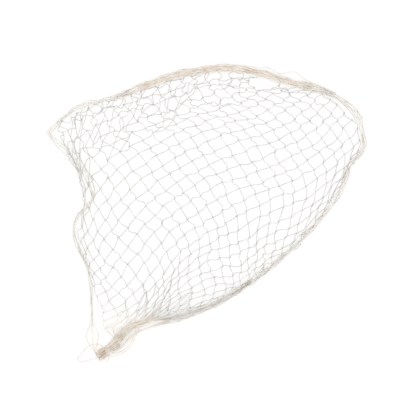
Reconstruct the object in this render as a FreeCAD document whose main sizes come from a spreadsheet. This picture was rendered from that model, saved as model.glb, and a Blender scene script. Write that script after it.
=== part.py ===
import FreeCAD, Part
import math
import os
from FreeCAD import Vector

# A knotted twine net, laid out on the ground with its far corner drawn together and lashed.
# Every twine of the net is a piece of its own. It zigzags through the net and is tied to
# the next twine at each of its knots. The gathered edges, the lashing, the loop and the
# loose ends are pieces as well. Nothing in it is rigid enough to turn on a joint.
#
# A knot has two numbers: row counts from the top edge down, column from left to right.
# Millimetres. X is to the right, Y away from the lashed corner, Z up, ground at z = 0.

doc = FreeCAD.newDocument("net")

# ---------------------------------------------------------------- driving dimensions
DIMENSIONS = [
    ("mesh_bar", 45.0, "twine between two knots, centre to centre"),
    ("twine_diameter", 2.0, "the net's own twine"),
    ("knot_diameter", 4.8, "the lump that a twine makes where it ties on the next"),
    ("knot_clearance", 0.06, "between the lump and the twine that is tied on"),
    ("knot_stray", 3.0, "how far a knot lies from its even place"),
    ("edge_twine_diameter", 2.4, "the twines that run along the gathered edges"),
    ("edge_pitch", 2.9, "sideways step between two edge twines"),
    ("edge_lift", 2.6, "step up between two layers of edge twine"),
    ("pile_rise", 2.7, "step up for each row that is heaped at an edge"),
    ("bundle_pitch", 2.7, "step between two twines in the bundle"),
    ("lashing_diameter", 2.6, "the twine lashed around the bundle"),
    ("lashing_clearance", 0.4, "between the lashing and the bundle"),
    ("loop_twine_diameter", 2.4, "the loop and the loose ends at the lashed corner"),
]
sheet = doc.addObject("Spreadsheet::Sheet", "Sizes")
for line, (alias, value, meaning) in enumerate(DIMENSIONS, start=1):
    sheet.set("A%d" % line, meaning)
    sheet.set("B%d" % line, str(value))
    sheet.setAlias("B%d" % line, alias)
doc.recompute()


def size(alias):
    """One driving dimension, as the sheet holds it."""
    return float(getattr(sheet, alias))


# ---------------------------------------------------------------- how the net lies
LAYOUT_BAR = 45.0        # the guide points below are for a net with this mesh bar
LASHING_TURNS = 8
LASHING_FROM_TIP = 33.0  # from the lashing's first turn to the bundle's cut end
ROWS = (-12, 12)         # first and last row of knots
COLUMNS = (-11, 15)      # first and last column of knots
LAST_OPEN = 15           # knots with a larger row - column are taken by the bundle
TIP_COLUMN = -8          # the first column in the rows of the left tip
TOP_LAST_COLUMN = 12     # and the last, where the gathered band takes the rest
LAST_TIP_ROW = -8
FIRST_TWINE, LAST_TWINE = -18, 19      # a twine goes by the row + column of its knots
GUIDE_STEP = 3

# Where every third knot of every third row lies, from column -12 to column 15.
GUIDES = {
    -12: [(-520, 210), (-532, 250), (-498, 296), (-430, 345), (-330, 384),
          (-215, 418), (-90, 452), (40, 474), (170, 468), (300, 432)],
    -9: [(-402, 45), (-405, 100), (-440, 178), (-383, 240), (-273, 296),
         (-155, 335), (-50, 378), (60, 412), (140, 436), (235, 446)],
    -6: [(-442, -78), (-420, -40), (-378, 50), (-300, 148), (-188, 220),
         (-75, 281), (34, 322), (143, 352), (223, 400), (300, 424)],
    -3: [(-402, -185), (-378, -152), (-319, -55), (-233, 50), (-124, 133),
         (-12, 193), (107, 243), (224, 278), (322, 340), (385, 400)],
    0: [(-388, -290), (-315, -243), (-234, -135), (-147, -31), (-53, 39),
        (50, 101), (171, 138), (283, 191), (386, 254), (462, 340)],
    3: [(-382, -375), (-262, -322), (-171, -235), (-88, -130), (6, -66),
        (99, -11), (216, 47), (334, 92), (436, 167), (515, 250)],
    6: [(-382, -432), (-280, -395), (-172, -312), (-96, -228), (8, -160),
        (112, -135), (200, -76), (310, -33), (405, 45), (475, 130)],
    9: [(-362, -465), (-285, -418), (-190, -352), (-88, -285), (30, -240),
        (115, -225), (188, -165), (282, -118), (372, -35), (450, 60)],
    12: [(-375, -485), (-305, -435), (-205, -385), (-98, -345), (15, -308),
         (112, -262), (196, -198), (285, -128), (375, -42), (452, 55)],
}

# Routes of the gathered edges over the ground. The third number says how loosely the
# strands lie there: 1 is side by side.
TOP_EDGE = [(-530, 262, 0.8), (-512, 290, 0.9), (-462, 334, 0.8), (-400, 368, 0.9),
            (-345, 380, 0.9), (-285, 394, 0.9), (-205, 427, 0.95), (-130, 452, 1.0),
            (-60, 471, 1.0), (20, 482, 1.0), (92, 484, 1.0), (165, 471, 0.95),
            (238, 449, 0.95), (310, 430, 1.1), (370, 416, 1.15), (430, 393, 0.9),
            (480, 357, 1.0), (512, 312, 1.1), (525, 262, 0.8)]
# The strands of the top edge: lane, first and last point of the route.
TOP_STRANDS = [(-2, 0, 18), (0, 0, 18), (2, 0, 18), (-3, 5, 17), (3, 4, 17),
               (-1, 5, 16), (1, 6, 15), (4, 6, 14)]
# The ninth stands out of the edge in slack loops.
TOP_SLACK = [(-150, 456), (-60, 481), (30, 494), (110, 497), (165, 489), (196, 489),
             (222, 480), (248, 467), (273, 474), (297, 473), (316, 459), (334, 445),
             (362, 432), (396, 417)]
LEFT_EDGE = [(-528, 270, 0.8), (-506, 240, 2.6), (-470, 212, 3.8), (-436, 178, 3.8),
             (-408, 140, 3.4), (-388, 96, 3.0), (-380, 54, 0.9), (-404, 20, 1.2),
             (-432, -10, 1.3), (-444, -56, 1.2), (-430, -112, 1.3), (-402, -170, 1.2),
             (-388, -230, 1.0), (-384, -306, 0.9), (-384, -366, 1.2), (-383, -386, 4.5),
             (-381, -408, 7.0), (-379, -430, 5.5), (-376, -450, 2.0)]
LEFT_STRANDS = 3
LOWER_EDGE = [(522, 266, 0.8), (527, 232, 1.4), (510, 196, 1.4), (482, 168, 1.2),
              (466, 120, 1.3), (438, 58, 1.6), (392, -4, 1.4), (330, -74, 1.2),
              (262, -138, 1.2), (206, -186, 1.5), (150, -226, 1.7), (92, -260, 1.6),
              (20, -298, 1.6), (-50, -326, 1.8), (-125, -348, 2.2)]
LOWER_STRANDS = 4

# The bundle runs from where the twines close up to its cut end.
BUNDLE = [(-200, -370, 1.4), (-258, -391, 1.8), (-298, -433, 1.8), (-334, -458, 1.1),
          (-364, -481, 1.1)]
BUNDLE_LAYERS = 3

# Free ends. They lie on the ground, and start under the bundle or the gathered net.
CORNER_LOOP = [(-338, -452), (-352, -441), (-370, -436), (-389, -440), (-404, -452),
               (-417, -467), (-427, -478), (-432, -487), (-427, -496), (-417, -496),
               (-400, -493), (-381, -488), (-359, -481)]
TAIL = [(-330, -464), (-325, -472), (-325, -481), (-329, -489), (-334, -497)]
LOOSE_STRANDS = [
    [(-236, -388), (-241, -404), (-247, -421), (-257, -438), (-271, -453), (-288, -464),
     (-306, -469), (-320, -467), (-329, -461)],
    [(-226, -384), (-233, -402), (-240, -421), (-250, -440), (-265, -457), (-284, -470),
     (-303, -477), (-322, -480)],
]

scale = size("mesh_bar") / LAYOUT_BAR


def spline_weights(share):
    """Weights of four guide values in a row, at a share of the way from 2nd to 3rd."""
    a, b, c = share, share * share, share ** 3
    return (-0.5 * a + b - 0.5 * c, 1 - 2.5 * b + 1.5 * c,
            0.5 * a + 2 * b - 1.5 * c, -0.5 * b + 0.5 * c)


def guide(row_index, column_index):
    """A guide point by its place in the table, carried on straight past its ends."""
    keys = sorted(GUIDES)
    r = min(max(row_index, 0), len(keys) - 1)
    line = GUIDES[keys[r]]
    c = min(max(column_index, 0), len(line) - 1)
    point = Vector(line[c][0], line[c][1], 0)
    if r != row_index:
        inner = GUIDES[keys[1 if r == 0 else r - 1]][c]
        point = point * 2 - Vector(inner[0], inner[1], 0)
    if c != column_index:
        inner = GUIDES[keys[r]][1 if c == 0 else c - 1]
        point = point * 2 - Vector(inner[0], inner[1], 0)
    return point


def even_place(row, column):
    """Where a knot lies by the guides alone."""
    u = (row - min(GUIDES)) / GUIDE_STEP
    v = (column + 12.0) / GUIDE_STEP
    r, c = math.floor(u), math.floor(v)
    row_weights, column_weights = spline_weights(u - r), spline_weights(v - c)
    place = Vector(0, 0, 0)
    for m in range(4):
        for n in range(4):
            place += guide(r - 1 + m, c - 1 + n) * (row_weights[m] * column_weights[n])
    return place * scale


def heap(row, column):
    """How high a knot lies: rows closed up at the lower and left edges lie on each other."""
    closed = max(0.0, row - 8.0) + max(0.0, -8.0 - column)
    return size("knot_diameter") / 2 + size("pile_rise") * closed


def knot_place(row, column):
    """Where a knot lies, with the small strays that a net thrown down has."""
    stray = size("knot_stray")
    place = even_place(row, column)
    place.x += stray * math.sin(1.7 * row + 2.9 * column)
    place.y += stray * math.sin(2.3 * row - 1.9 * column + 1.0)
    place.z = heap(row, column)
    return place


def in_net(row, column):
    """Whether the net has a knot here: its corners are drawn in or taken by the bundle."""
    first = TIP_COLUMN if row <= LAST_TIP_ROW else COLUMNS[0]
    last = TOP_LAST_COLUMN if row <= LAST_TIP_ROW else COLUMNS[1]
    return (ROWS[0] <= row <= ROWS[1] and first <= column <= last
            and row + column <= LAST_TWINE + 1 and row - column <= LAST_OPEN)


# ---------------------------------------------------------------- routes and tubes
SHARP_TURN = math.radians(60)
STRAIGHT = 0.001         # radians: a turn this small needs no arc
CLOSEST_KNOTS = 2.0      # a twine skips a knot nearer than this many knot diameters
GENTLE_BEND = 900.0      # the largest radius that an arc of an edge takes
KNOT_BEND = 0.55         # a twine's bend in a knot, in diameters: tight, inside the lump


def without_sharp_turns(points, bend):
    """A sharp corner becomes two corners, just far enough apart for two arcs of that bend."""
    eased = [points[0]]
    for before, corner, after in zip(points, points[1:], points[2:]):
        run_in = (corner - before).normalize()
        run_out = (after - corner).normalize()
        turn = run_in.getAngle(run_out)
        if turn < SHARP_TURN:
            eased.append(corner)
        else:
            across = (run_in + run_out).normalize()
            step = 2.2 * bend * math.tan(turn / 4)
            eased += [corner - across * (step / 2), corner + across * (step / 2)]
    return eased + [points[-1]]


def bend_radii(points):
    """The radius that each corner's two runs allow."""
    radii = []
    for before, corner, after in zip(points, points[1:], points[2:]):
        turn = (corner - before).getAngle(after - corner)
        shorter = min((corner - before).Length, (after - corner).Length)
        radii.append(0.45 * shorter / math.tan(turn / 2))
    return radii


def rounded_route(points, largest_radius):
    """Straight runs joined by tangent arcs, so that a section can follow them."""
    edges, last = [], points[0]
    for before, corner, after in zip(points, points[1:], points[2:]):
        run_in, run_out = corner - before, after - corner
        shorter = min(run_in.Length, run_out.Length)
        run_in.normalize()
        run_out.normalize()
        turn = run_in.getAngle(run_out)
        if turn < STRAIGHT:
            continue
        radius = min(0.45 * shorter / math.tan(turn / 2), largest_radius)
        reach = radius * math.tan(turn / 2)
        start, end = corner - run_in * reach, corner + run_out * reach
        inward = (run_out - run_in).normalize()
        middle = corner + inward * (radius / math.cos(turn / 2) - radius)
        edges.append(Part.makeLine(last, start))
        edges.append(Part.Arc(start, middle, end).toShape())
        last = end
    edges.append(Part.makeLine(last, points[-1]))
    return Part.Wire(edges)


def tube(name, points, diameter_alias, bend):
    """A twine: a round section swept along its route."""
    route = doc.addObject("Part::Feature", name + "_route")
    route.Shape = rounded_route(points, bend)
    section = doc.addObject("Part::Circle", name + "_section")
    section.setExpression("Radius", "Sizes.%s / 2" % diameter_alias)
    direction = points[1] - points[0]
    section.Placement = FreeCAD.Placement(
        points[0], FreeCAD.Rotation(Vector(0, 0, 1), direction))
    sweep = doc.addObject("Part::Sweep", name + "_tube")
    sweep.Sections = [section]
    sweep.Spine = (route, ["Edge%d" % (n + 1) for n in range(len(route.Shape.Edges))])
    sweep.Solid = True
    sweep.Frenet = False
    return sweep


def on_ground(points, height=0.0):
    """A route over the ground as vectors, at the size of the net."""
    return [Vector(x * scale, y * scale, height) for x, y in points]


def strand(route, lane, pitch, height):
    """A strand of an edge or bundle: lane counts pitches to the left of the route."""
    middle = on_ground([(x, y) for x, y, looseness in route])
    points = []
    for n, (point, (x, y, looseness)) in enumerate(zip(middle, route)):
        ahead = middle[min(n + 1, len(middle) - 1)] - middle[max(n - 1, 0)]
        ahead.normalize()
        side = Vector(-ahead.y, ahead.x, 0)
        points.append(point + side * (lane * pitch * looseness) + Vector(0, 0, height))
    return points


# ---------------------------------------------------------------- the bundle's lanes
TWINES = range(FIRST_TWINE, LAST_TWINE + 1)
BUNDLED = [k for k in TWINES if in_net((LAST_OPEN + k) // 2, (k - LAST_OPEN) // 2)]
LANES = LEFT_STRANDS + len(BUNDLED) + LOWER_STRANDS
LANES_ACROSS = math.ceil(LANES / BUNDLE_LAYERS)


def bundle_lane(number):
    """The bundle's route for one of its twines: they lie in three staggered layers."""
    column, layer = divmod(number, BUNDLE_LAYERS)
    pitch = size("bundle_pitch")
    lane = (LANES_ACROSS - 1) / 2 - column + (layer - 1) / BUNDLE_LAYERS
    height = size("lashing_diameter") + size("lashing_clearance") + pitch * (layer + 0.5)
    return strand(BUNDLE, lane, pitch, height)


# ---------------------------------------------------------------- the net's twines
def knot_side(row, column):
    """Level unit vector at a knot, towards the next twine."""
    along = even_place(row + 0.5, column - 0.5) - even_place(row - 0.5, column + 0.5)
    across = even_place(row + 0.5, column + 0.5) - even_place(row - 0.5, column - 0.5)
    side = Vector(-along.y, along.x, 0)
    if side.dot(across) < 0:
        side = side * -1
    return side.normalize()


def twine_knots(k):
    """The knots that twine k passes, in order, from the top edge towards the bundle."""
    knots = []
    for row in range(ROWS[0] - 1, ROWS[1] + 1):
        for knot in ((row, k - row), (row + 1, k - row)):
            if in_net(*knot):
                knots.append(knot)
            elif knots:
                return knots
    return knots


def knot_lump(place, side):
    """The lump of a knot. Its seam faces the side on which none of its twine's bars lie."""
    lump = Part.makeSphere(size("knot_diameter") / 2)
    lump.Placement = FreeCAD.Placement(place, FreeCAD.Rotation(Vector(1, 0, 0), side))
    return lump


def twine_route(k):
    """A twine's route, and the places on it where its own knots lie, with their sides.

    It ties its own knots on its far side, round a bend of the next twine, and its bends
    on the near side pass through the knots of the twine before it.
    """
    gap = size("knot_clearance") / 2
    own, tied_on = size("knot_diameter") / 2 + gap, size("twine_diameter") / 2 + gap
    points, lumps = [], []
    for row, column in twine_knots(k):
        place, side = knot_place(row, column), knot_side(row, column)
        is_own = row + column == k + 1
        place = place - side * own if is_own else place + side * tied_on
        if points and (place - points[-1]).Length < CLOSEST_KNOTS * size("knot_diameter"):
            continue
        points.append(place)
        if is_own:
            lumps.append((place, side))
    if k in BUNDLED:
        lane = bundle_lane(LEFT_STRANDS + BUNDLED.index(k))
        left_to_go = (lane[-1] - points[-1]).Length - size("mesh_bar") / 2
        points += [point for point in lane if (lane[-1] - point).Length < left_to_go]
    return points, lumps


pieces = []
for number, k in enumerate(TWINES, start=1):
    name = "twine_%02d" % number
    points, places = twine_route(k)
    bend = KNOT_BEND * size("twine_diameter")
    twine = tube(name, without_sharp_turns(points, bend), "twine_diameter", bend)
    lumps = doc.addObject("Part::Feature", name + "_lumps")
    lumps.Shape = Part.makeCompound([knot_lump(place, side) for place, side in places])
    piece = doc.addObject("Part::MultiFuse", name)
    piece.Shapes = [twine, lumps]
    piece.Label = name
    pieces.append(piece)

# ---------------------------------------------------------------- the gathered edges
edge_half = size("edge_twine_diameter") / 2
edge_floor = size("knot_diameter") + edge_half + 0.3


def edge_piece(name, points):
    piece = tube(name, points, "edge_twine_diameter", GENTLE_BEND)
    piece.Label = name
    pieces.append(piece)


pitch, lift = size("edge_pitch"), size("edge_lift")
for number, (lane, first, last) in enumerate(TOP_STRANDS, start=1):
    edge_piece("top_edge_%d" % number,
               strand(TOP_EDGE[first:last + 1], lane, pitch, edge_floor + lift * (lane % 2)))
edge_piece("top_edge_%d" % (len(TOP_STRANDS) + 1), on_ground(TOP_SLACK, edge_floor + 2 * lift))

left_height = size("pile_rise") * 3 + edge_floor
for number in range(LEFT_STRANDS):
    route = strand(LEFT_EDGE, number - (LEFT_STRANDS - 1) / 2, pitch, left_height)
    edge_piece("left_edge_%d" % (number + 1), route + bundle_lane(2 - number)[-1:])

lower_height = size("pile_rise") * 4 + edge_floor
for number in range(LOWER_STRANDS):
    route = strand(LOWER_EDGE, (LOWER_STRANDS - 1) / 2 - number, pitch, lower_height)
    lane = bundle_lane(LANES - LOWER_STRANDS + number)
    edge_piece("lower_edge_%d" % (number + 1), route + lane)

# ---------------------------------------------------------------- the lashed corner
def lashing_route():
    """Close turns around the bundle, on a rounded box section."""
    before, tip = on_ground([(x, y) for x, y, looseness in BUNDLE[-2:]])
    ahead = (tip - before).normalize()
    side = Vector(-ahead.y, ahead.x, 0)
    gap = size("lashing_clearance") + size("lashing_diameter") / 2
    half_width = (LANES_ACROSS + 1) * size("bundle_pitch") * BUNDLE[-1][2] / 2 + gap
    half_height = BUNDLE_LAYERS * size("bundle_pitch") / 2 + gap
    middle = tip - ahead * (LASHING_FROM_TIP * scale)
    middle.z = half_height + size("lashing_diameter") / 2
    corners = [(1, 0.6), (0.7, 1), (-0.7, 1), (-1, 0.6),
               (-1, -0.6), (-0.7, -1), (0.7, -1), (1, -0.6)]
    step = (size("lashing_diameter") + 0.2) / len(corners)
    points = []
    for n in range(LASHING_TURNS * len(corners) + 1):
        wide, tall = corners[n % len(corners)]
        points.append(middle + side * (wide * half_width) + ahead * (n * step)
                      + Vector(0, 0, tall * half_height))
    return points


lashing = tube("lashing", lashing_route(), "lashing_diameter", bend=3.0)
lashing.Label = "lashing"
pieces.append(lashing)

free_ends = []
for name, points in [("corner_loop", CORNER_LOOP), ("tail", TAIL),
                     ("loose_strand_1", LOOSE_STRANDS[0]),
                     ("loose_strand_2", LOOSE_STRANDS[1])]:
    route = on_ground(points, size("loop_twine_diameter") / 2)
    piece = tube(name, route, "loop_twine_diameter", GENTLE_BEND)
    piece.Label = name
    free_ends.append(piece)
    print(name, "radii", [round(radius, 1) for radius in bend_radii(route)])

doc.recompute()

# ---------------------------------------------------------------- check, centre, write
for item in doc.Objects:
    if "Invalid" in item.State or "Error" in item.State:
        raise RuntimeError("%s did not recompute: %s" % (item.Label, item.State))
for piece in pieces + free_ends:
    if piece.Shape.isNull() or not piece.Shape.isValid():
        raise RuntimeError("%s has no valid shape" % piece.Label)
    if len(piece.Shape.Solids) != 1:
        raise RuntimeError("%s is %d solids" % (piece.Label, len(piece.Shape.Solids)))

# The frame's origin is under the middle of the net. The free ends don't count for it.
whole = FreeCAD.BoundBox()
for piece in pieces:
    whole.add(piece.Shape.optimalBoundingBox(False))
pieces += free_ends
centring = Vector(-(whole.XMin + whole.XMax) / 2, -(whole.YMin + whole.YMax) / 2, -whole.ZMin)
print("size", round(whole.XLength, 1), round(whole.YLength, 1), round(whole.ZLength, 1),
      "moved", [round(c, 2) for c in centring])

for piece in pieces:
    piece.Placement = FreeCAD.Placement(centring, FreeCAD.Rotation())

os.makedirs("parts", exist_ok=True)
for piece in pieces:
    written = "parts/%s.step" % piece.Label
    piece.Shape.exportStep(written)
    volume, volume_read = piece.Shape.Volume, Part.read(written).Volume
    if volume <= 0 or abs(volume_read / volume - 1) > 0.001:
        print("CHECK", piece.Label, "volume", round(volume, 1), "in its file", round(volume_read, 1))
print(len(pieces), "pieces written")
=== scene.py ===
# %% [markdown]
# # A tennis net laid out on the ground
# Bare sport netting: cotton twine, tied in square meshes, with its edges gathered and one
# corner drawn together and lashed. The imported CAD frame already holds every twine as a
# plain round tube. This lesson gives each of them the look of real laid twine.
#
# Everything is in metres, in the frame's own axes. The layout numbers are written in
# millimetres, because that is how a net maker measures, and multiplied by MM.

import math
import random

import bmesh
import bpy
import numpy as np
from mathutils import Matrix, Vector


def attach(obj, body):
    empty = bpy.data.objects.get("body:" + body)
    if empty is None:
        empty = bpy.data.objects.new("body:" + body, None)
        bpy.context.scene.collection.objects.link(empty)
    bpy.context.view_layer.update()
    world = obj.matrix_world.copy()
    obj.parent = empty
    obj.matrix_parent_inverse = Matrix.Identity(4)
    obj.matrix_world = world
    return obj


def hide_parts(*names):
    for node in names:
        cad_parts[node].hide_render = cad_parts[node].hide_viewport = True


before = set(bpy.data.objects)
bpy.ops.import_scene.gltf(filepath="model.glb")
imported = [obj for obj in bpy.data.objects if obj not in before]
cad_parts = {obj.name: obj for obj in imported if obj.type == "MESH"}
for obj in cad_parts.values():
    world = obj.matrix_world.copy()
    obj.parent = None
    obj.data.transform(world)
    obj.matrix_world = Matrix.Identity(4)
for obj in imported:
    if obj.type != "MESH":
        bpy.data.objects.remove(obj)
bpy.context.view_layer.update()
MM = 0.001

# %% [markdown]
# ## How the net lies
# The net is a grid of knots that was thrown down and pulled about. A designer would not
# place a thousand knots by hand: a few guide points say where every third knot lies, and
# a smooth curve through them places the rest. These are the frame's own guide points, so
# each twine lands on its CAD tube.

# %% Guide points and sizes
MESH_BAR = 45 * MM           # twine between two knots
TWINE = 2.0 * MM             # thickness of the net's twine
EDGE_TWINE = 2.4 * MM        # thickness of the edge twines
KNOT = 4.8 * MM              # height of a knot on the ground
KNOT_STRAY = 3 * MM          # how far a knot strays from its even place
PILE_RISE = 2.7 * MM         # step up for each row heaped at an edge
HEAPED_FROM = 8.0            # rows below this one, and columns left of minus it, are heaped
CENTRING = np.array([1.53, -2.8]) * MM    # the CAD model is moved this far onto its origin

ROWS, COLUMNS = (-12, 12), (-11, 15)      # first and last
FIRST_TWINE, LAST_TWINE = -18, 19
LAST_OPEN = 15               # beyond this row - column, the bundle has taken the knots
TIP_COLUMN, TOP_LAST_COLUMN, LAST_TIP_ROW = -8, 12, -8
GUIDE_STEP = 3               # rows, and columns, from one guide point to the next
FIRST_GUIDE_COLUMN = -12

GUIDES = {
    -12: [(-520, 210), (-532, 250), (-498, 296), (-430, 345), (-330, 384),
          (-215, 418), (-90, 452), (40, 474), (170, 468), (300, 432)],
    -9: [(-402, 45), (-405, 100), (-440, 178), (-383, 240), (-273, 296),
         (-155, 335), (-50, 378), (60, 412), (140, 436), (235, 446)],
    -6: [(-442, -78), (-420, -40), (-378, 50), (-300, 148), (-188, 220),
         (-75, 281), (34, 322), (143, 352), (223, 400), (300, 424)],
    -3: [(-402, -185), (-378, -152), (-319, -55), (-233, 50), (-124, 133),
         (-12, 193), (107, 243), (224, 278), (322, 340), (385, 400)],
    0: [(-388, -290), (-315, -243), (-234, -135), (-147, -31), (-53, 39),
        (50, 101), (171, 138), (283, 191), (386, 254), (462, 340)],
    3: [(-382, -375), (-262, -322), (-171, -235), (-88, -130), (6, -66),
        (99, -11), (216, 47), (334, 92), (436, 167), (515, 250)],
    6: [(-382, -432), (-280, -395), (-172, -312), (-96, -228), (8, -160),
        (112, -135), (200, -76), (310, -33), (405, 45), (475, 130)],
    9: [(-362, -465), (-285, -418), (-190, -352), (-88, -285), (30, -240),
        (115, -225), (188, -165), (282, -118), (372, -35), (450, 60)],
    12: [(-375, -485), (-305, -435), (-205, -385), (-98, -345), (15, -308),
         (112, -262), (196, -198), (285, -128), (375, -42), (452, 55)],
}
GUIDE_ROWS = sorted(GUIDES)
guide_table = np.array([GUIDES[row] for row in GUIDE_ROWS], dtype=float) * MM
print("guides:", guide_table.shape[:2])

# %% A smooth curve through the guides


def spline_weights(share):
    """Weights of four guide values in a row, at a share of the way from 2nd to 3rd."""
    a, b, c = share, share * share, share ** 3
    return (-0.5 * a + b - 0.5 * c, 1 - 2.5 * b + 1.5 * c,
            0.5 * a + 2 * b - 1.5 * c, -0.5 * b + 0.5 * c)


def padded_table(table):
    """The guide table with one more line on each side, carried on straight."""
    for axis in (0, 1):
        lines = np.moveaxis(table, axis, 0)
        lines = np.concatenate([[2 * lines[0] - lines[1]], lines, [2 * lines[-1] - lines[-2]]])
        table = np.moveaxis(lines, 0, axis)
    return table


guides_with_rim = padded_table(guide_table)


def even_place(row, column):
    """Where a knot lies by the guides alone."""
    u = (row - GUIDE_ROWS[0]) / GUIDE_STEP
    v = (column - FIRST_GUIDE_COLUMN) / GUIDE_STEP
    last_r, last_c = guides_with_rim.shape[0] - 4, guides_with_rim.shape[1] - 4
    r, c = min(max(math.floor(u), 0), last_r), min(max(math.floor(v), 0), last_c)
    patch = guides_with_rim[r:r + 4, c:c + 4]
    weights = np.outer(spline_weights(u - r), spline_weights(v - c))
    return np.tensordot(weights, patch, axes=([0, 1], [0, 1])) + CENTRING


def in_net(row, column):
    """Whether the net has a knot here: its corners are drawn in or taken by the bundle."""
    first = TIP_COLUMN if row <= LAST_TIP_ROW else COLUMNS[0]
    last = TOP_LAST_COLUMN if row <= LAST_TIP_ROW else COLUMNS[1]
    return (ROWS[0] <= row <= ROWS[1] and first <= column <= last
            and row + column <= LAST_TWINE + 1 and row - column <= LAST_OPEN)


def heap(row, column):
    """How high a knot's centre lies: rows closed up at an edge lie on each other."""
    closed = max(0.0, row - HEAPED_FROM) + max(0.0, -HEAPED_FROM - column)
    return KNOT / 2 + PILE_RISE * closed


def knot_place(row, column):
    """A knot's centre, with the small strays and the heaping of the frame's own net."""
    x, y = even_place(row, column)
    x += KNOT_STRAY * math.sin(1.7 * row + 2.9 * column)
    y += KNOT_STRAY * math.sin(2.3 * row - 1.9 * column + 1.0)
    return np.array([x, y, heap(row, column)])


def knot_run(row, column):
    """Level direction in which twines run through a knot, towards the bundle."""
    along = even_place(row + 0.5, column - 0.5) - even_place(row - 0.5, column + 0.5)
    return np.append(along / np.linalg.norm(along), 0.0)


def knot_side(row, column):
    """Level direction across a knot, towards the next twine."""
    run = knot_run(row, column)
    side = np.array([-run[1], run[0], 0.0])
    across = even_place(row + 0.5, column + 0.5) - even_place(row - 0.5, column - 0.5)
    return side if side[:2] @ across > 0 else -side


print("knots:", sum(in_net(row, column) for row in range(ROWS[0], ROWS[1] + 1)
                    for column in range(COLUMNS[0], COLUMNS[1] + 1)))

# %% [markdown]
# ## The path of one twine
# A twine leaves each knot along the run of its row and bends round to the next knot. Where
# the knots lie closer than a mesh bar, the spare length has to go somewhere, so the bar
# bows. A bar here is a curve between two knots with a direction at each end, which gives
# the soft, rounded meshes of a net that isn't pulled tight.

# %% Bars with their slack
BAR_STEPS = 20
LARGEST_SPARE = 0.6          # of a bar's length
LARGEST_BOW, LARGEST_WAVE, LARGEST_ARCH = 7 * MM, 2.5 * MM, 5 * MM
KNOT_RISE = np.array([0, 0, 0.9 * MM])      # a knot's wraps rest on the ground, not in it
chance = random.Random(7)


def bar_points(start, end, leave, arrive, loose):
    """Points along one bar. loose scales how far its spare length wanders."""
    chord = end - start
    length = np.linalg.norm(chord)
    straight = chord / length
    spare = min(max(0.0, MESH_BAR - length) / MESH_BAR, LARGEST_SPARE)
    turn_in = min(1.0, 0.22 + 2.2 * spare)
    leave = straight * (1 - turn_in) + leave * turn_in
    arrive = straight * (1 - turn_in) + arrive * turn_in
    reach = length * (1.0 + 0.7 * spare)
    sideways = np.array([-straight[1], straight[0], 0.0])
    slack = math.sqrt(spare) * length
    bow = chance.uniform(-1, 1) * loose * min(0.42 * slack, LARGEST_BOW)
    wave = chance.uniform(-1, 1) * loose * min(0.16 * slack, LARGEST_WAVE)
    arch = chance.uniform(0, 1) * min(0.2 * slack, LARGEST_ARCH)
    ground = (min(start[2], end[2]) - KNOT / 2) + TWINE * 0.55
    u = np.linspace(0, 1, BAR_STEPS + 1)[:-1, None]
    points = ((2 * u ** 3 - 3 * u ** 2 + 1) * start + (u ** 3 - 2 * u ** 2 + u) * reach * leave
              + (-2 * u ** 3 + 3 * u ** 2) * end + (u ** 3 - u ** 2) * reach * arrive)
    points += sideways * (bow * np.sin(math.pi * u) + wave * np.sin(2 * math.pi * u))
    middle = np.sin(math.pi * u[:, 0]) ** 2
    points[:, 2] += middle * (0.8 * (ground - points[:, 2]) + arch)
    return points


def smooth_through(points, step=2.2 * MM):
    """A smooth curve through a few points, as points a step apart."""
    points = [np.asarray(p, dtype=float) for p in points]
    points = [2 * points[0] - points[1]] + points + [2 * points[-1] - points[-2]]
    curve = []
    for n in range(1, len(points) - 2):
        count = max(2, round(np.linalg.norm(points[n + 1] - points[n]) / step))
        for m in range(count):
            weights = spline_weights(m / count)
            curve.append(sum(w * p for w, p in zip(weights, points[n - 1:n + 3])))
    return np.array(curve + [points[-2]])


print("one bar:", bar_points(knot_place(0, 0), knot_place(1, 0), knot_run(0, 0),
                             knot_run(1, 0), 1.0).shape)

# %% [markdown]
# ## The bundle
# At the lashed corner the twines lie side by side in three layers. Each has its own lane,
# as in the frame, and wanders a little in it, so that the bundle looks drawn together by
# hand and not extruded.

# %% Lanes of the bundle
# x and y in millimetres, and how loosely the strands lie there: 1 is side by side.
BUNDLE = [(-200, -370, 1.4), (-258, -391, 1.8), (-298, -433, 1.8), (-334, -458, 1.1),
          (-364, -481, 1.1)]
BUNDLE_LAYERS, LEFT_STRANDS, LOWER_STRANDS = 3, 3, 4
BUNDLE_PITCH = 2.7 * MM
LASHING_TWINE = 2.6 * MM
LASHING_GAP = 0.4 * MM
TWINES = range(FIRST_TWINE, LAST_TWINE + 1)
BUNDLED = [k for k in TWINES if in_net((LAST_OPEN + k) // 2, (k - LAST_OPEN) // 2)]
LANES = LEFT_STRANDS + len(BUNDLED) + LOWER_STRANDS
LANES_ACROSS = math.ceil(LANES / BUNDLE_LAYERS)


def on_ground(points, height=0.0):
    """A route over the ground, from millimetres in the layout's own place."""
    return np.array([[x * MM + CENTRING[0], y * MM + CENTRING[1], height]
                     for x, y in points])


def beside(points, offset):
    """The same route, moved sideways to its left by offset, one number or one for each."""
    ahead = np.gradient(points, axis=0)
    ahead /= np.linalg.norm(ahead[:, :2], axis=1)[:, None]
    side = np.stack([-ahead[:, 1], ahead[:, 0], np.zeros(len(points))], axis=1)
    return points + side * np.broadcast_to(offset, len(points))[:, None]


def bundle_lane(number):
    """The route of one of the bundle's twines: three staggered layers, a little uneven."""
    column, layer = divmod(number, BUNDLE_LAYERS)
    lane = (LANES_ACROSS - 1) / 2 - column + (layer - 1) / BUNDLE_LAYERS
    height = LASHING_TWINE + LASHING_GAP + BUNDLE_PITCH * (layer + 0.5)
    lanes = np.array([lane + chance.uniform(-0.35, 0.35) for n in BUNDLE])
    loosely = np.array([looseness for x, y, looseness in BUNDLE])
    return beside(on_ground([point[:2] for point in BUNDLE], height),
                  lanes * BUNDLE_PITCH * loosely)


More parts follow.
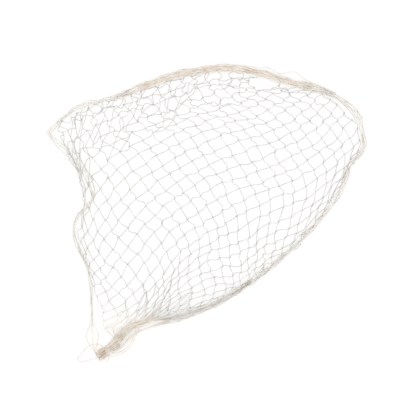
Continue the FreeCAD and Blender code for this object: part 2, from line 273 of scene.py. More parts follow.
print("bundle:", len(BUNDLED), "twines and", LEFT_STRANDS + LOWER_STRANDS, "edge twines")

# %% [markdown]
# ## Paths of the net's twines
# A twine goes from knot to knot down its zigzag, and into its lane if the bundle takes it.
# Two more paths show twine that a plain zigzag leaves out. Near the top edge the net is
# crumpled, so spare length lies in small folds over the first meshes. On the way to the
# bundle the last meshes are drawn shut, so their far sides run alongside. Both begin or
# end at a knot, because netting has no loose ends inside it.

# %% Paths of the net's twines
SPREAD, MOST_CRUMPLED = 0.8, 1.4     # slackness of spread meshes, and the most added to it
CRUMPLE_STRAY = 5 * MM               # how far a knot strays, for each 1 of added slackness
CLOSEST_KNOTS = 6 * MM               # a twine skips a knot nearer than this
PAST_KNOT = 0.6 * TWINE              # the side of a knot on which a twine passes


def slackness(row, column):
    """How loosely the meshes lie here: the top left is crumpled, the rest is spread."""
    crumple = max(0.0, (-6.0 - row) / 4.0) * (1.0 if column < 11 else 0.5)
    return SPREAD + min(crumple, MOST_CRUMPLED)


def crumple_stray(row, column):
    """How far a knot strays where the net is crumpled."""
    crumpled = max(0.0, slackness(row, column) - SPREAD)
    return np.array([math.sin(5.1 * row + 3.3 * column), math.sin(4.3 * row - 6.1 * column),
                     0]) * crumpled * CRUMPLE_STRAY


def knots_along(k):
    """The knots that twine k passes, in order, from the top edge towards the bundle."""
    passed = []
    for row in range(ROWS[0] - 1, ROWS[1] + 1):
        for knot in ((row, k - row), (row + 1, k - row)):
            if in_net(*knot):
                passed.append(knot)
            elif passed:
                return passed
    return passed


def rest_of_lane(number, end):
    """The points of a twine's lane that are at least half a mesh bar beyond its end."""
    lane = bundle_lane(LEFT_STRANDS + number)
    to_go = np.linalg.norm(lane[-1] - np.array(end)) - MESH_BAR / 2
    return [point for point in lane if np.linalg.norm(lane[-1] - point) < to_go]


def twine_path(k):
    """A twine's path, with the place and direction of each knot that it ties."""
    stops, ties = [], []
    for knot in knots_along(k):
        is_own = sum(knot) == k + 1
        centre = knot_place(*knot) + crumple_stray(*knot)
        place = centre + knot_side(*knot) * (-PAST_KNOT if is_own else PAST_KNOT)
        if stops and np.linalg.norm(place - stops[-1][0]) < CLOSEST_KNOTS:
            continue
        stops.append((place, knot_run(*knot), knot))
        if is_own:
            ties.append((centre + KNOT_RISE, knot_run(*knot)))
    pieces = [bar_points(a[0], b[0], a[1], b[1], slackness(*a[2]))
              for a, b in zip(stops, stops[1:])]
    end = stops[-1][0]
    if k in BUNDLED:
        pieces.append(smooth_through([end] + rest_of_lane(BUNDLED.index(k), end)))
    else:
        pieces.append([end])
    return np.concatenate(pieces), ties


def folded_path(k):
    """Near the top edge, a twine's spare length, lying in small folds over its meshes."""
    points, steps = [], chance.choice((6, 8, 10))
    for step in range(steps):
        row = ROWS[0] + 0.5 * step
        x, y = even_place(row, k + 0.5 - row)
        points.append((x + chance.uniform(-10, 10) * MM, y + chance.uniform(-5, 5) * MM,
                       KNOT / 2 + TWINE))
    last_row = ROWS[0] + steps // 2
    return smooth_through(points + [knot_place(last_row, k - last_row) + KNOT_RISE])


def drawn_in_path(k):
    """Beside a twine, the far side of its last meshes, drawn shut on the way to the bundle."""
    first = LAST_OPEN - chance.choice((2, 3, 5))
    first -= (k + first) % 2
    points = [knot_place((k + first) // 2, (k - first) // 2) + KNOT_RISE]
    for reach in range(first + 1, LAST_OPEN + 1):
        row, column = (k + 0.5 + reach) / 2, (k + 0.5 - reach) / 2
        x, y = even_place(row, column)
        points.append((x + chance.uniform(-2, 2) * MM, y + chance.uniform(-2, 2) * MM,
                       heap(row, column)))
    return smooth_through(points + rest_of_lane(BUNDLED.index(k) + 1, points[-1]))


sample, ties = twine_path(0)
print("twine through the middle:", len(sample), "points,", len(ties), "knots")

# %% [markdown]
# ## Laid twine with Geometry Nodes
# Cotton twine is three strands laid round each other. Modelling three tubes for fifty
# metres of it would be heavy. A three-lobed section that turns as it is swept shows the
# same grooves for a third of the faces. A knot is a short wrap of twine. A second tree sets
# one on each point, turned to the run and side that the point carries.

# %% A helper that adds a node


def add(tree, kind, links=None, **settings):
    """Add a node. links maps an input to a socket or a value; settings are properties."""
    node = tree.nodes.new(kind)
    for name, value in settings.items():
        setattr(node, name, value)
    for name, value in (links or {}).items():
        socket = node.inputs[name]
        if isinstance(value, bpy.types.NodeSocket):
            tree.links.new(value, socket)
        else:
            socket.default_value = value
    return node


def new_tree(name, inputs):
    """A Geometry Nodes tree with a Geometry input and output and the given inputs."""
    tree = bpy.data.node_groups.new(name, "GeometryNodeTree")
    tree.interface.new_socket("Geometry", in_out="INPUT", socket_type="NodeSocketGeometry")
    for label, kind, default in inputs:
        socket = tree.interface.new_socket(label, in_out="INPUT", socket_type=kind)
        if default is not None:
            socket.default_value = default
    tree.interface.new_socket("Geometry", in_out="OUTPUT", socket_type="NodeSocketGeometry")
    return tree


# %% The tree that lays the twine
def laid_twine_tree():
    tree = new_tree("Laid twine", [
        ("Thickness", "NodeSocketFloat", TWINE), ("Lay length", "NodeSocketFloat", 14 * MM),
        ("Groove", "NodeSocketFloat", 0.08), ("Sides", "NodeSocketInt", 9),
        ("Material", "NodeSocketMaterial", None)])
    given = tree.nodes.new("NodeGroupInput").outputs
    along = add(tree, "GeometryNodeSplineParameter").outputs["Length"]
    turns = add(tree, "ShaderNodeMath", {0: along, 1: given["Lay length"]}, operation="DIVIDE")
    tilt = add(tree, "ShaderNodeMath", {0: turns.outputs[0], 1: math.tau}, operation="MULTIPLY")
    twisted = add(tree, "GeometryNodeSetCurveTilt",
                  {"Curve": given["Geometry"], "Tilt": tilt.outputs[0]})
    radius = add(tree, "ShaderNodeMath", {0: given["Thickness"], 1: 0.5}, operation="MULTIPLY")
    ring = add(tree, "GeometryNodeCurvePrimitiveCircle",
               {"Resolution": given["Sides"], "Radius": radius.outputs[0]})
    place = add(tree, "GeometryNodeInputPosition").outputs[0]
    parts = add(tree, "ShaderNodeSeparateXYZ", {0: place})
    angle = add(tree, "ShaderNodeMath", {0: parts.outputs["Y"], 1: parts.outputs["X"]},
                operation="ARCTAN2")
    thrice = add(tree, "ShaderNodeMath", {0: angle.outputs[0], 1: 3.0}, operation="MULTIPLY")
    lobe = add(tree, "ShaderNodeMath", {0: thrice.outputs[0]}, operation="COSINE")
    share = add(tree, "ShaderNodeMath", {0: lobe.outputs[0], 1: given["Groove"], 2: 1.0},
                operation="MULTIPLY_ADD")
    pushed = add(tree, "ShaderNodeVectorMath", {0: place, "Scale": share.outputs[0]},
                 operation="SCALE")
    section = add(tree, "GeometryNodeSetPosition",
                  {"Geometry": ring.outputs[0], "Position": pushed.outputs[0]})
    swept = add(tree, "GeometryNodeCurveToMesh",
                {"Curve": twisted.outputs[0], "Profile Curve": section.outputs[0],
                 "Fill Caps": True})
    real = add(tree, "GeometryNodeRealizeInstances", {"Geometry": swept.outputs[0]})
    coloured = add(tree, "GeometryNodeSetMaterial",
                   {"Geometry": real.outputs[0], "Material": given["Material"]})
    out = tree.nodes.new("NodeGroupOutput")
    tree.links.new(coloured.outputs[0], out.inputs[0])
    return tree


LAID_TWINE = laid_twine_tree()
print("tree:", LAID_TWINE.name, len(LAID_TWINE.nodes), "nodes")


# %% The tree that ties the knots
def knot_tree():
    tree = new_tree("Knots", [
        ("Thickness", "NodeSocketFloat", TWINE), ("Width", "NodeSocketFloat", TWINE),
        ("Turns", "NodeSocketFloat", 1.7), ("Seed", "NodeSocketInt", 3),
        ("Material", "NodeSocketMaterial", None)])
    given = tree.nodes.new("NodeGroupInput").outputs
    height = add(tree, "ShaderNodeMath", {0: given["Thickness"], 1: 1.7}, operation="MULTIPLY")
    wrap = add(tree, "GeometryNodeCurveSpiral",
               {"Resolution": 7, "Rotations": given["Turns"], "Start Radius": given["Width"],
                "End Radius": given["Width"], "Height": height.outputs[0]})
    lowered = add(tree, "ShaderNodeMath", {0: height.outputs[0], 1: -0.5},
                  operation="MULTIPLY")
    centre = add(tree, "ShaderNodeCombineXYZ", {"Z": lowered.outputs[0]})
    oval = add(tree, "GeometryNodeTransform",
               {"Geometry": wrap.outputs[0], "Translation": centre.outputs[0],
                "Scale": (1.0, 0.72, 1.0)})
    radius = add(tree, "ShaderNodeMath", {0: given["Thickness"], 1: 0.38},
                 operation="MULTIPLY")
    ring = add(tree, "GeometryNodeCurvePrimitiveCircle",
               {"Resolution": 5, "Radius": radius.outputs[0]})
    tube = add(tree, "GeometryNodeCurveToMesh",
               {"Curve": oval.outputs[0], "Profile Curve": ring.outputs[0],
                "Fill Caps": True})
    run = add(tree, "GeometryNodeInputNamedAttribute", {"Name": "run"},
              data_type="FLOAT_VECTOR").outputs["Attribute"]
    side = add(tree, "GeometryNodeInputNamedAttribute", {"Name": "side"},
               data_type="FLOAT_VECTOR").outputs["Attribute"]
    facing = add(tree, "FunctionNodeAlignRotationToVector", {"Vector": run}, axis="Z")
    level = add(tree, "FunctionNodeAlignRotationToVector",
                {"Rotation": facing.outputs[0], "Vector": side}, axis="X", pivot_axis="Z")
    jiggle = add(tree, "FunctionNodeRandomValue",
                 {0: (-0.35, -0.35, -0.5), 1: (0.35, 0.35, 0.5), "Seed": given["Seed"]},
                 data_type="FLOAT_VECTOR")
    turned = add(tree, "FunctionNodeRotateRotation",
                 {"Rotation": level.outputs[0]}, rotation_space="LOCAL")
    tree.links.new(jiggle.outputs[0], turned.inputs["Rotate By"])
    growth = add(tree, "FunctionNodeRandomValue",
                 {2: 0.88, 3: 1.15, "Seed": given["Seed"]}, data_type="FLOAT")
    placed = add(tree, "GeometryNodeInstanceOnPoints",
                 {"Points": given["Geometry"], "Instance": tube.outputs[0],
                  "Rotation": turned.outputs[0], "Scale": growth.outputs[1]})
    real = add(tree, "GeometryNodeRealizeInstances", {"Geometry": placed.outputs[0]})
    coloured = add(tree, "GeometryNodeSetMaterial",
                   {"Geometry": real.outputs[0], "Material": given["Material"]})
    out = tree.nodes.new("NodeGroupOutput")
    tree.links.new(coloured.outputs[0], out.inputs[0])
    return tree


KNOTS = knot_tree()
print("tree:", KNOTS.name, len(KNOTS.nodes), "nodes")

# %% [markdown]
# ## Cotton
# Undyed cotton twine is warm off-white, matt, and hairy with short fibres. Its colour
# shifts a little along its length, and dust sits in the grooves. Two noises make that: a
# slow one in centimetres for the shade, a fine one for the fibres. The fibres are really
# 0.02 mm thick; they are drawn ten times coarser, so that they show at all.


# %% Cotton twine material
def linear(code):
    """Linear colour of an sRGB hex code."""
    parts = [int(code[n:n + 2], 16) / 255 for n in (1, 3, 5)]
    return [c / 12.92 if c <= 0.04045 else ((c + 0.055) / 1.055) ** 2.4 for c in parts] + [1.0]


# Where the twines crowd together, in the bundle and in the top band, a warmer and lighter
# colour is painted on:
# painted shading of the crowded strands, lightened so that the shadows between them show less.
# A region has a centre, an inner and an outer radius in metres, and a factor by which lengths
# along X count.
PAINTED_SHADING_BUNDLE = ((-0.270, -0.425), 0.060, 0.130, 0.55)
PAINTED_SHADING_BAND = ((0.030, 0.455), 0.060, 0.105, 0.22)
PAINTED_SHADING_PALE, PAINTED_SHADING_DARK = "#faf3e9", "#eee2d4"


def painted_shading_share(tree, place, regions):
    """How much of the painted shading of crowded strands the twine gets at a place: 1 inside a
    region, 0 outside all of them.
    """
    share = 0.0
    for (x, y), inner, outer, squeeze in regions:
        offset = add(tree, "ShaderNodeVectorMath", {0: place, 1: (x, y, 0)},
                     operation="SUBTRACT")
        squeezed = add(tree, "ShaderNodeVectorMath", {0: offset.outputs[0],
                                                      1: (squeeze, 1.0, 1.0)},
                       operation="MULTIPLY")
        reach = add(tree, "ShaderNodeVectorMath", {0: squeezed.outputs[0]}, operation="LENGTH")
        inside = add(tree, "ShaderNodeMapRange",
                     {"Value": reach.outputs["Value"], "From Min": inner, "From Max": outer,
                      "To Min": 1.0, "To Max": 0.0}, interpolation_type="SMOOTHSTEP")
        share = add(tree, "ShaderNodeMath", {0: inside.outputs[0], 1: share},
                    operation="MAXIMUM").outputs[0]
    return share


def blend_of(tree, factor, first, second):
    """A mix of two colours, each a socket or a linear colour."""
    return add(tree, "ShaderNodeMix", {"Factor": factor, 6: first, 7: second},
               data_type="RGBA").outputs[2]


def cotton(name, pale, dark, painted_shading_in, shade_size=30 * MM, fibre_size=0.25 * MM):
    """Matt cotton whose tone drifts between two colours along the twine, with painted shading
    of crowded strands in the given regions.
    """
    material = bpy.data.materials.new(name)
    material.use_nodes = True
    tree = material.node_tree
    shader = tree.nodes["Principled BSDF"]
    shader.inputs["Roughness"].default_value = 0.92
    shader.inputs["Specular IOR Level"].default_value = 0.25
    shader.inputs["Sheen Weight"].default_value = 0.2
    shader.inputs["Sheen Roughness"].default_value = 0.5
    place = add(tree, "ShaderNodeTexCoord").outputs["Object"]
    drift = add(tree, "ShaderNodeTexNoise",
                {"Vector": place, "Scale": 1 / shade_size, "Detail": 3.0})
    fibres = add(tree, "ShaderNodeTexNoise",
                 {"Vector": place, "Scale": 1 / fibre_size, "Detail": 2.0})
    both = add(tree, "ShaderNodeMath",
               {0: fibres.outputs["Fac"], 1: 0.35, 2: drift.outputs["Fac"]},
               operation="MULTIPLY_ADD")
    share = add(tree, "ShaderNodeMapRange",
                {"Value": both.outputs[0], "From Min": 0.5, "From Max": 0.85}).outputs[0]
    plain = blend_of(tree, share, linear(pale), linear(dark))
    # Painted shading: in the crowded regions the colour turns to a warmer, lighter pair, which
    # stands for the shading among the strands.
    painted_shading_colour = blend_of(tree, share, linear(PAINTED_SHADING_PALE), linear(PAINTED_SHADING_DARK))
    colour = blend_of(tree, painted_shading_share(tree, place, painted_shading_in), plain, painted_shading_colour)
    tree.links.new(colour, shader.inputs["Base Color"])
    relief = add(tree, "ShaderNodeBump",
                 {"Height": fibres.outputs["Fac"], "Strength": 0.5, "Distance": 0.15 * MM})
    tree.links.new(relief.outputs[0], shader.inputs["Normal"])
    return material


# The bundle, and for the edges also the top band, get the painted shading of crowded twines.
NET_COTTON = cotton("Cotton twine, laid, undyed", "#e2e0dc", "#c9c6c0", [PAINTED_SHADING_BUNDLE])
EDGE_COTTON = cotton("Cotton twine, gathered edge", "#f1ede6", "#dfd8cd",
                     [PAINTED_SHADING_BUNDLE, PAINTED_SHADING_BAND])
LASHING_COTTON = cotton("Tan cotton cord, wound tight", "#f4e7d9", "#e4d1be", [], 12 * MM)
print("materials:", NET_COTTON.name, "/", EDGE_COTTON.name, "/", LASHING_COTTON.name)

# %% [markdown]
# ## From path to piece
# Each piece is one plain mesh: a poly curve along the path goes through the tree, the
# result is read back, and the curve is thrown away. The knots go through their own tree,
# from a mesh of bare points, and join the same piece.


# %% Path to mesh
def through_tree(source, tree, values):
    """The mesh that a tree makes of an object. The object is removed afterwards."""
    modifier = source.modifiers.new(tree.name, "NODES")
    modifier.node_group = tree
    for item in tree.interface.items_tree:
        if item.in_out == "INPUT" and item.name in values:
            modifier[item.identifier] = values[item.name]
    bpy.context.view_layer.update()
    evaluated = source.evaluated_get(bpy.context.evaluated_depsgraph_get())
    mesh = bpy.data.meshes.new_from_object(evaluated)
    data = source.data
    bpy.data.objects.remove(source)
    (bpy.data.curves if isinstance(data, bpy.types.Curve) else bpy.data.meshes).remove(data)
    return mesh


def poly_curve(name, points):
    """An open poly curve through points, in the scene."""
    curve = bpy.data.curves.new(name, "CURVE")
    curve.dimensions = "3D"
    spline = curve.splines.new("POLY")
    spline.points.add(len(points) - 1)
    spline.points.foreach_set("co", np.c_[points, np.ones(len(points))].ravel())
    thing = bpy.data.objects.new(name, curve)
    bpy.context.scene.collection.objects.link(thing)
    return thing


def laid_twine(points, thickness, material, lay=14 * MM):
    return through_tree(poly_curve("path", points), LAID_TWINE,
                        {"Thickness": thickness, "Lay length": lay, "Material": material})


def tied_knots(ties, thickness, material, seed):
    """Wraps at each (place, run)."""
    mesh = bpy.data.meshes.new("ties")
    mesh.from_pydata([tuple(place) for place, run in ties], [], [])
    for name, vectors in (("run", [run for place, run in ties]),
                          ("side", [(-run[1], run[0], 0) for place, run in ties])):
        layer = mesh.attributes.new(name, "FLOAT_VECTOR", "POINT")
        layer.data.foreach_set("vector", np.array(vectors, dtype=float).ravel())
    points = bpy.data.objects.new("ties", mesh)
    bpy.context.scene.collection.objects.link(points)
    return through_tree(points, KNOTS, {"Thickness": thickness, "Width": thickness,
                                        "Seed": seed, "Material": material})


def make_piece(name, meshes, material):
    """One smooth-shaded object from several meshes, with its place in its mesh."""
    joined = bmesh.new()
    for mesh in meshes:
        joined.from_mesh(mesh)
        bpy.data.meshes.remove(mesh)
    mesh = bpy.data.meshes.new(name)
    joined.to_mesh(mesh)
    joined.free()
    mesh.materials.clear()
    mesh.materials.append(material)
    mesh.polygons.foreach_set("use_smooth", [True] * len(mesh.polygons))
    piece = bpy.data.objects.new(name, mesh)
    bpy.context.scene.collection.objects.link(piece)
    return piece


def hand_over(piece, node):
    """The piece stands for its CAD node: it goes under the root body, and the CAD node is
    hidden.
    """
    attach(piece, "root")
    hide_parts(node)


# %% [markdown]
# ## The net itself
# Thirty-eight twines, each with its own knots, folds and drawn-in sides. Each is a piece,
# because on a bench the net would be picked apart twine by twine.

# %% The net's twines
FOLDED = range(ROWS[0] - 4, ROWS[0] + 9)     # those that start in the crumpled part

for number, k in enumerate(TWINES, start=1):
    path, ties = twine_path(k)
    meshes = [laid_twine(path, TWINE, NET_COTTON)]
    if ties:
        meshes.append(tied_knots(ties, TWINE, NET_COTTON, number))
    if k in BUNDLED:
        meshes.append(laid_twine(drawn_in_path(k), TWINE, NET_COTTON))
    if k in FOLDED:
        meshes.append(laid_twine(folded_path(k), TWINE, NET_COTTON))
    piece = make_piece("net_twine_%02d" % number, meshes, NET_COTTON)
    hand_over(piece, "twine_%02d" % number)
print("net:", len(TWINES), "twines")

# %% [markdown]
# ## The gathered edges
# Along the edges the meshes are drawn shut, so their twines run side by side with a knot
# every mesh bar. Each wanders across the others on a slow wave, which keeps the gather
# from looking like a ribbon. The band along the top has a second strand beside each, and
# the lower edge hangs slack on its outer side before it joins the bundle.

# %% Edge routes
# The third number is again how loosely the strands lie there.
TOP_EDGE = [(-530, 262, 0.8), (-512, 290, 0.9), (-462, 334, 0.8), (-400, 368, 0.9),
            (-345, 380, 0.9), (-285, 394, 0.9), (-205, 427, 0.95), (-130, 452, 1.0),
            (-60, 471, 1.0), (20, 482, 1.0), (92, 484, 1.0), (165, 471, 0.95),
            (238, 449, 0.95), (310, 430, 1.1), (370, 416, 1.15), (430, 393, 0.9),
            (480, 357, 1.0), (512, 312, 1.1), (525, 262, 0.8)]
# Lane, first and last point of the route.
TOP_STRANDS = [(-2, 0, 18), (0, 0, 18), (2, 0, 18), (-3, 5, 17), (3, 4, 17),
               (-1, 5, 16), (1, 6, 15), (4, 6, 14)]
TOP_SLACK = [(-150, 456), (-60, 481), (30, 494), (110, 497), (165, 489), (196, 489),
             (222, 480), (248, 467), (273, 474), (297, 473), (316, 459), (334, 445),
             (362, 432), (396, 417)]
LEFT_EDGE = [(-528, 270, 0.8), (-506, 240, 2.6), (-470, 212, 3.8), (-436, 178, 3.8),
             (-408, 140, 3.4), (-388, 96, 3.0), (-380, 54, 0.9), (-404, 20, 1.2),
             (-432, -10, 1.3), (-444, -56, 1.2), (-430, -112, 1.3), (-402, -170, 1.2),
             (-388, -230, 1.0), (-384, -306, 0.9), (-384, -366, 1.2), (-383, -386, 4.5),
             (-381, -408, 7.0), (-379, -430, 5.5), (-376, -450, 2.0)]
LOWER_EDGE = [(522, 266, 0.8), (527, 232, 1.4), (510, 196, 1.4), (482, 168, 1.2),
              (466, 120, 1.3), (438, 58, 1.6), (392, -4, 1.4), (330, -74, 1.2),
              (262, -138, 1.2), (206, -186, 1.5), (150, -226, 1.7), (92, -260, 1.6),
              (20, -298, 1.6), (-50, -326, 1.8), (-125, -348, 2.2)]
LOWER_SLACK = [(150, -226, 0.3), (92, -260, 1.1), (20, -298, 1.35), (-50, -326, 1.45),
               (-125, -348, 1.6)]
EDGE_PITCH = 2.9 * MM        # from one strand to the next, lying side by side
EDGE_LIFT = 2.6 * MM         # how much higher every other strand of the top edge lies
EDGE_FLOOR = KNOT + EDGE_TWINE / 2 + 0.3 * MM
TOP_SWAY, LEFT_SWAY, LOWER_SWAY = (3.5 * MM, 3 * MM), (1.6 * MM, 3 * MM), (2 * MM, 4 * MM)
SLACK_SWAY, OUTER_SWAY = (1 * MM, 2 * MM), (1.5 * MM, 2 * MM)     # sideways, and up
GATHERED = (5, 15)           # between these points of its route the top edge is a band
# How many pitches outside the bundle's middle the lower edge's slack goes, point by point.
OUTER_LANES = np.array([5.0, 7.4, 7.4, 5.2, 3.6])
FIRST_OUTER_LANE = 1.2


def strand(route, lane, height):
    """A smooth path along a route, lane pitches to its left."""
    middle = on_ground([point[:2] for point in route], height)
    loosely = np.array([looseness for x, y, looseness in route])
    return smooth_through(beside(middle, lane * EDGE_PITCH * loosely))


def wandering(points, sway, lift):
    """A path that drifts to either side by up to sway, and up by up to lift."""
    length = np.r_[0, np.cumsum(np.linalg.norm(np.diff(points, axis=0), axis=1))]
    drift = np.zeros(len(points))
    for wave, share in ((150 * MM, 0.6), (62 * MM, 0.4)):
        drift += share * np.sin(math.tau * length / (wave * chance.uniform(0.8, 1.25))
                                + chance.uniform(0, math.tau))
    rise = 0.5 + 0.5 * np.sin(math.tau * length / (90 * MM) + chance.uniform(0, math.tau))
    moved = beside(points, sway * drift)
    moved[:, 2] += lift * rise
    return moved


def ties_along(points, spacing):
    """A knot every spacing along a path, each a little off the even place."""
    length = np.r_[0, np.cumsum(np.linalg.norm(np.diff(points, axis=0), axis=1))]
    ties, at = [], chance.uniform(0.2, 0.8) * spacing
    while at < length[-1] - spacing / 2:
        n = int(np.searchsorted(length, at))
        run = points[min(n + 1, len(points) - 1)] - points[n - 1]
        ties.append((points[n], run / np.linalg.norm(run)))
        at += spacing * chance.uniform(0.75, 1.2)
    return ties


def outer_path(lane):
    """The slack side of a lower edge strand: it hangs out, then goes along the bundle."""
    hanging = strand(LOWER_SLACK, lane, TWINE)[::12]
    middle = on_ground([point[:2] for point in BUNDLE], LASHING_TWINE + 1.5 * BUNDLE_PITCH)
    along = beside(middle, BUNDLE_PITCH * OUTER_LANES * (0.84 + 0.05 * lane))
    return wandering(smooth_through([*hanging, *along]), *OUTER_SWAY)


def edge_piece(name, paths):
    """One piece of an edge: its strands, each with a knot every mesh bar."""
    meshes = []
    for number, path in enumerate(paths):
        meshes.append(laid_twine(path, EDGE_TWINE, EDGE_COTTON))
        ties = ties_along(path, MESH_BAR)
        meshes.append(tied_knots(ties, 0.9 * TWINE, EDGE_COTTON, number))
    piece = make_piece("edge_" + name, meshes, EDGE_COTTON)
    hand_over(piece, name)


# %% Edge pieces
for number, (lane, first, last) in enumerate(TOP_STRANDS, start=1):
    height = EDGE_FLOOR + EDGE_LIFT * (lane % 2)
    whole = TOP_EDGE[first:last + 1]
    inner = TOP_EDGE[max(first, GATHERED[0]):min(last, GATHERED[1]) + 1]
    edge_piece("top_edge_%d" % number,
               [wandering(strand(whole, lane, height), *TOP_SWAY),
                wandering(strand(inner, lane + 0.5, height), *TOP_SWAY)])
slack = smooth_through(on_ground(TOP_SLACK, EDGE_FLOOR + EDGE_LIFT))
edge_piece("top_edge_%d" % (len(TOP_STRANDS) + 1), [wandering(slack, *SLACK_SWAY)])

for number in range(LEFT_STRANDS):
    path = strand(LEFT_EDGE, number - (LEFT_STRANDS - 1) / 2, EDGE_FLOOR)
    tip = bundle_lane(2 - number)[-1:]
    path = np.vstack([wandering(path, *LEFT_SWAY), tip])
    edge_piece("left_edge_%d" % (number + 1), [path])

for number in range(LOWER_STRANDS):
    path = strand(LOWER_EDGE, (LOWER_STRANDS - 1) / 2 - number, EDGE_FLOOR)
    path = wandering(path, *LOWER_SWAY)
    rest = smooth_through([path[-1], *bundle_lane(LANES - LOWER_STRANDS + number)])
    edge_piece("lower_edge_%d" % (number + 1),
               [np.vstack([path, rest[1:]]), outer_path(FIRST_OUTER_LANE + number)])
print("edges:", len(TOP_STRANDS) + 1 + LEFT_STRANDS + LOWER_STRANDS, "strands")

# %% [markdown]
# ## The lashed corner
# A tan cord is wound tightly round the bundle, and a loop, a tail and two loose strands
# come out of it. The last four lie free, so they are cords: a smooth NURBS route with the
# frame's points, which the laid twine then follows.

# %% The lashing
LASHING_TURNS, TURN_STEPS = 8, 28
TURN_GAP = 0.2 * MM             # from one turn to the next
ROUNDNESS = 0.6                 # of the turns: 1 is an ellipse, 0 a box
LASHING_FROM_TIP = 33 * MM      # from its first turn to the bundle's cut end


def lashing_path():
    """Close turns around the bundle, on a rounded box section."""
    before, tip = on_ground([point[:2] for point in BUNDLE[-2:]])
    ahead = (tip - before) / np.linalg.norm(tip - before)
    side = np.array([-ahead[1], ahead[0], 0.0])
    gap = LASHING_GAP + LASHING_TWINE / 2
    half_width = (LANES_ACROSS + 1) * BUNDLE_PITCH * BUNDLE[-1][2] / 2 + gap
    half_height = BUNDLE_LAYERS * BUNDLE_PITCH / 2 + gap
    middle = tip - ahead * LASHING_FROM_TIP
    middle[2] = half_height + LASHING_TWINE / 2
    points = []
    for n in range(LASHING_TURNS * TURN_STEPS + 1):
        turns = n / TURN_STEPS
        across, up = math.cos(math.tau * turns), math.sin(math.tau * turns)
        wide = math.copysign(abs(across) ** ROUNDNESS, across) * half_width
        tall = math.copysign(abs(up) ** ROUNDNESS, up) * half_height
        points.append(middle + side * wide + ahead * turns * (LASHING_TWINE + TURN_GAP)
                      + np.array([0, 0, tall]))
    return np.array(points)


piece = make_piece("lashing_cord", [laid_twine(lashing_path(), LASHING_TWINE, LASHING_COTTON)],
                   LASHING_COTTON)
hand_over(piece, "lashing")

# %% The free ends
CORNER_LOOP = [(-338, -452), (-352, -441), (-370, -436), (-389, -440), (-404, -452),
               (-417, -467), (-427, -478), (-432, -487), (-427, -496), (-417, -496),
               (-400, -493), (-381, -488), (-359, -481)]
TAIL = [(-330, -464), (-325, -472), (-325, -481), (-329, -489), (-334, -497)]
LOOSE_STRANDS = [
    [(-236, -388), (-241, -404), (-247, -421), (-257, -438), (-271, -453), (-288, -464),
     (-306, -469), (-320, -467), (-329, -461)],
    [(-226, -384), (-233, -402), (-240, -421), (-250, -440), (-265, -457), (-284, -470),
     (-303, -477), (-322, -480)],
]


def nurbs_line(points):
    """Points along a NURBS spline through a route's points."""
    curve = bpy.data.curves.new("route", "CURVE")
    curve.dimensions = "3D"
    curve.resolution_u = 24
    spline = curve.splines.new("NURBS")
    spline.points.add(len(points) - 1)
    spline.points.foreach_set("co", np.c_[points, np.ones(len(points))].ravel())
    spline.order_u = 3
    spline.use_endpoint_u = True
    thing = bpy.data.objects.new("route", curve)
    bpy.context.scene.collection.objects.link(thing)
    bpy.context.view_layer.update()
    mesh = bpy.data.meshes.new_from_object(thing.evaluated_get(
        bpy.context.evaluated_depsgraph_get()))
    line = np.array([v.co[:] for v in mesh.vertices])
    bpy.data.objects.remove(thing)
    bpy.data.curves.remove(curve)
    bpy.data.meshes.remove(mesh)
    return line


for name, route, end in (("corner_loop", CORNER_LOOP, "object"), ("tail", TAIL, "bare"),
                         ("loose_strand_1", LOOSE_STRANDS[0], "object"),
                         ("loose_strand_2", LOOSE_STRANDS[1], "bare")):
    line = nurbs_line(on_ground(route, EDGE_TWINE / 2))
    piece = make_piece("free_" + name, [laid_twine(line, EDGE_TWINE, EDGE_COTTON)], EDGE_COTTON)
    hand_over(piece, name)

# %% [markdown]
# ## Light, ground and camera
# The net lies on seamless white paper under soft even light, and is seen from straight
# above through a long lens. The ground shines to the camera, to mirrors and through glass,
# but keeps part of its own shading, so that the twines still cast their faint shadows.

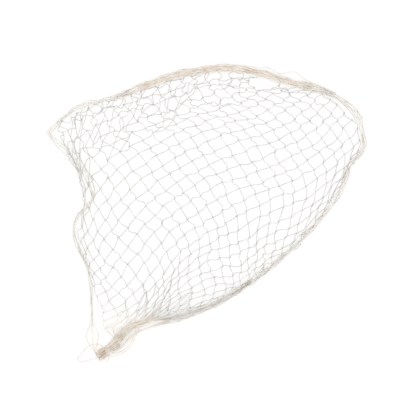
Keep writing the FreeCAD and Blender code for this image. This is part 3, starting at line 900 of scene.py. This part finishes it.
# %% Ground
def white_ground():
    """Paper that shines to the camera, but keeps part of its shading."""
    material = bpy.data.materials.new("White paper ground")
    material.use_nodes = True
    tree = material.node_tree
    paper = tree.nodes["Principled BSDF"]
    paper.inputs["Base Color"].default_value = linear("#fafafa")
    paper.inputs["Roughness"].default_value = 1.0
    glow = add(tree, "ShaderNodeEmission", {"Color": (1, 1, 1, 1), "Strength": 1.0})
    ray = add(tree, "ShaderNodeLightPath")
    seen = add(tree, "ShaderNodeMath",
               {0: ray.outputs["Is Camera Ray"], 1: ray.outputs["Is Glossy Ray"]},
               operation="MAXIMUM")
    seen = add(tree, "ShaderNodeMath",
               {0: seen.outputs[0], 1: ray.outputs["Is Transmission Ray"]},
               operation="MAXIMUM")
    part = add(tree, "ShaderNodeMath", {0: seen.outputs[0], 1: 0.6}, operation="MULTIPLY")
    mix = add(tree, "ShaderNodeMixShader", {0: part.outputs[0], 1: paper.outputs[0],
                                            2: glow.outputs[0]})
    tree.links.new(mix.outputs[0], tree.nodes["Material Output"].inputs["Surface"])
    return material


GROUND_SIZE = 14
bpy.ops.mesh.primitive_plane_add(size=GROUND_SIZE, location=(0, 0, 0))
ground = bpy.context.object
ground.name = "ground"
ground.data.materials.append(white_ground())

# %% Lamps and world
world = bpy.data.worlds.new("Studio")
bpy.context.scene.world = world
world.use_nodes = True
world.node_tree.nodes["Background"].inputs["Color"].default_value = (1, 1, 1, 1)
world.node_tree.nodes["Background"].inputs["Strength"].default_value = 1.0


def soft_lamp(name, place, size, power):
    """A square area lamp that faces the net."""
    data = bpy.data.lights.new(name, "AREA")
    data.size, data.energy = size, power
    lamp = bpy.data.objects.new(name, data)
    lamp.location = place
    lamp.rotation_euler = (-Vector(place)).to_track_quat("-Z", "Y").to_euler()
    bpy.context.scene.collection.objects.link(lamp)


soft_lamp("key", (-1.2, 1.6, 2.6), 2.0, 14)
soft_lamp("fill", (1.6, -0.8, 2.4), 2.4, 6)

# %% Camera
VIEW_WIDTH = 1.34            # metres of ground across the picture
VIEW_CENTRE = np.array([-21.8, 45.2]) * MM + CENTRING
CAMERA_HEIGHT = 5.0
SENSOR = 36                  # millimetres, as a camera's own sizes are
data = bpy.data.cameras.new("camera")
data.sensor_width = SENSOR
data.lens = SENSOR * CAMERA_HEIGHT / VIEW_WIDTH
camera = bpy.data.objects.new("camera", data)
camera.location = (VIEW_CENTRE[0], VIEW_CENTRE[1], CAMERA_HEIGHT)
bpy.context.scene.collection.objects.link(camera)
bpy.context.scene.camera = camera
bpy.context.scene.view_settings.view_transform = "Standard"
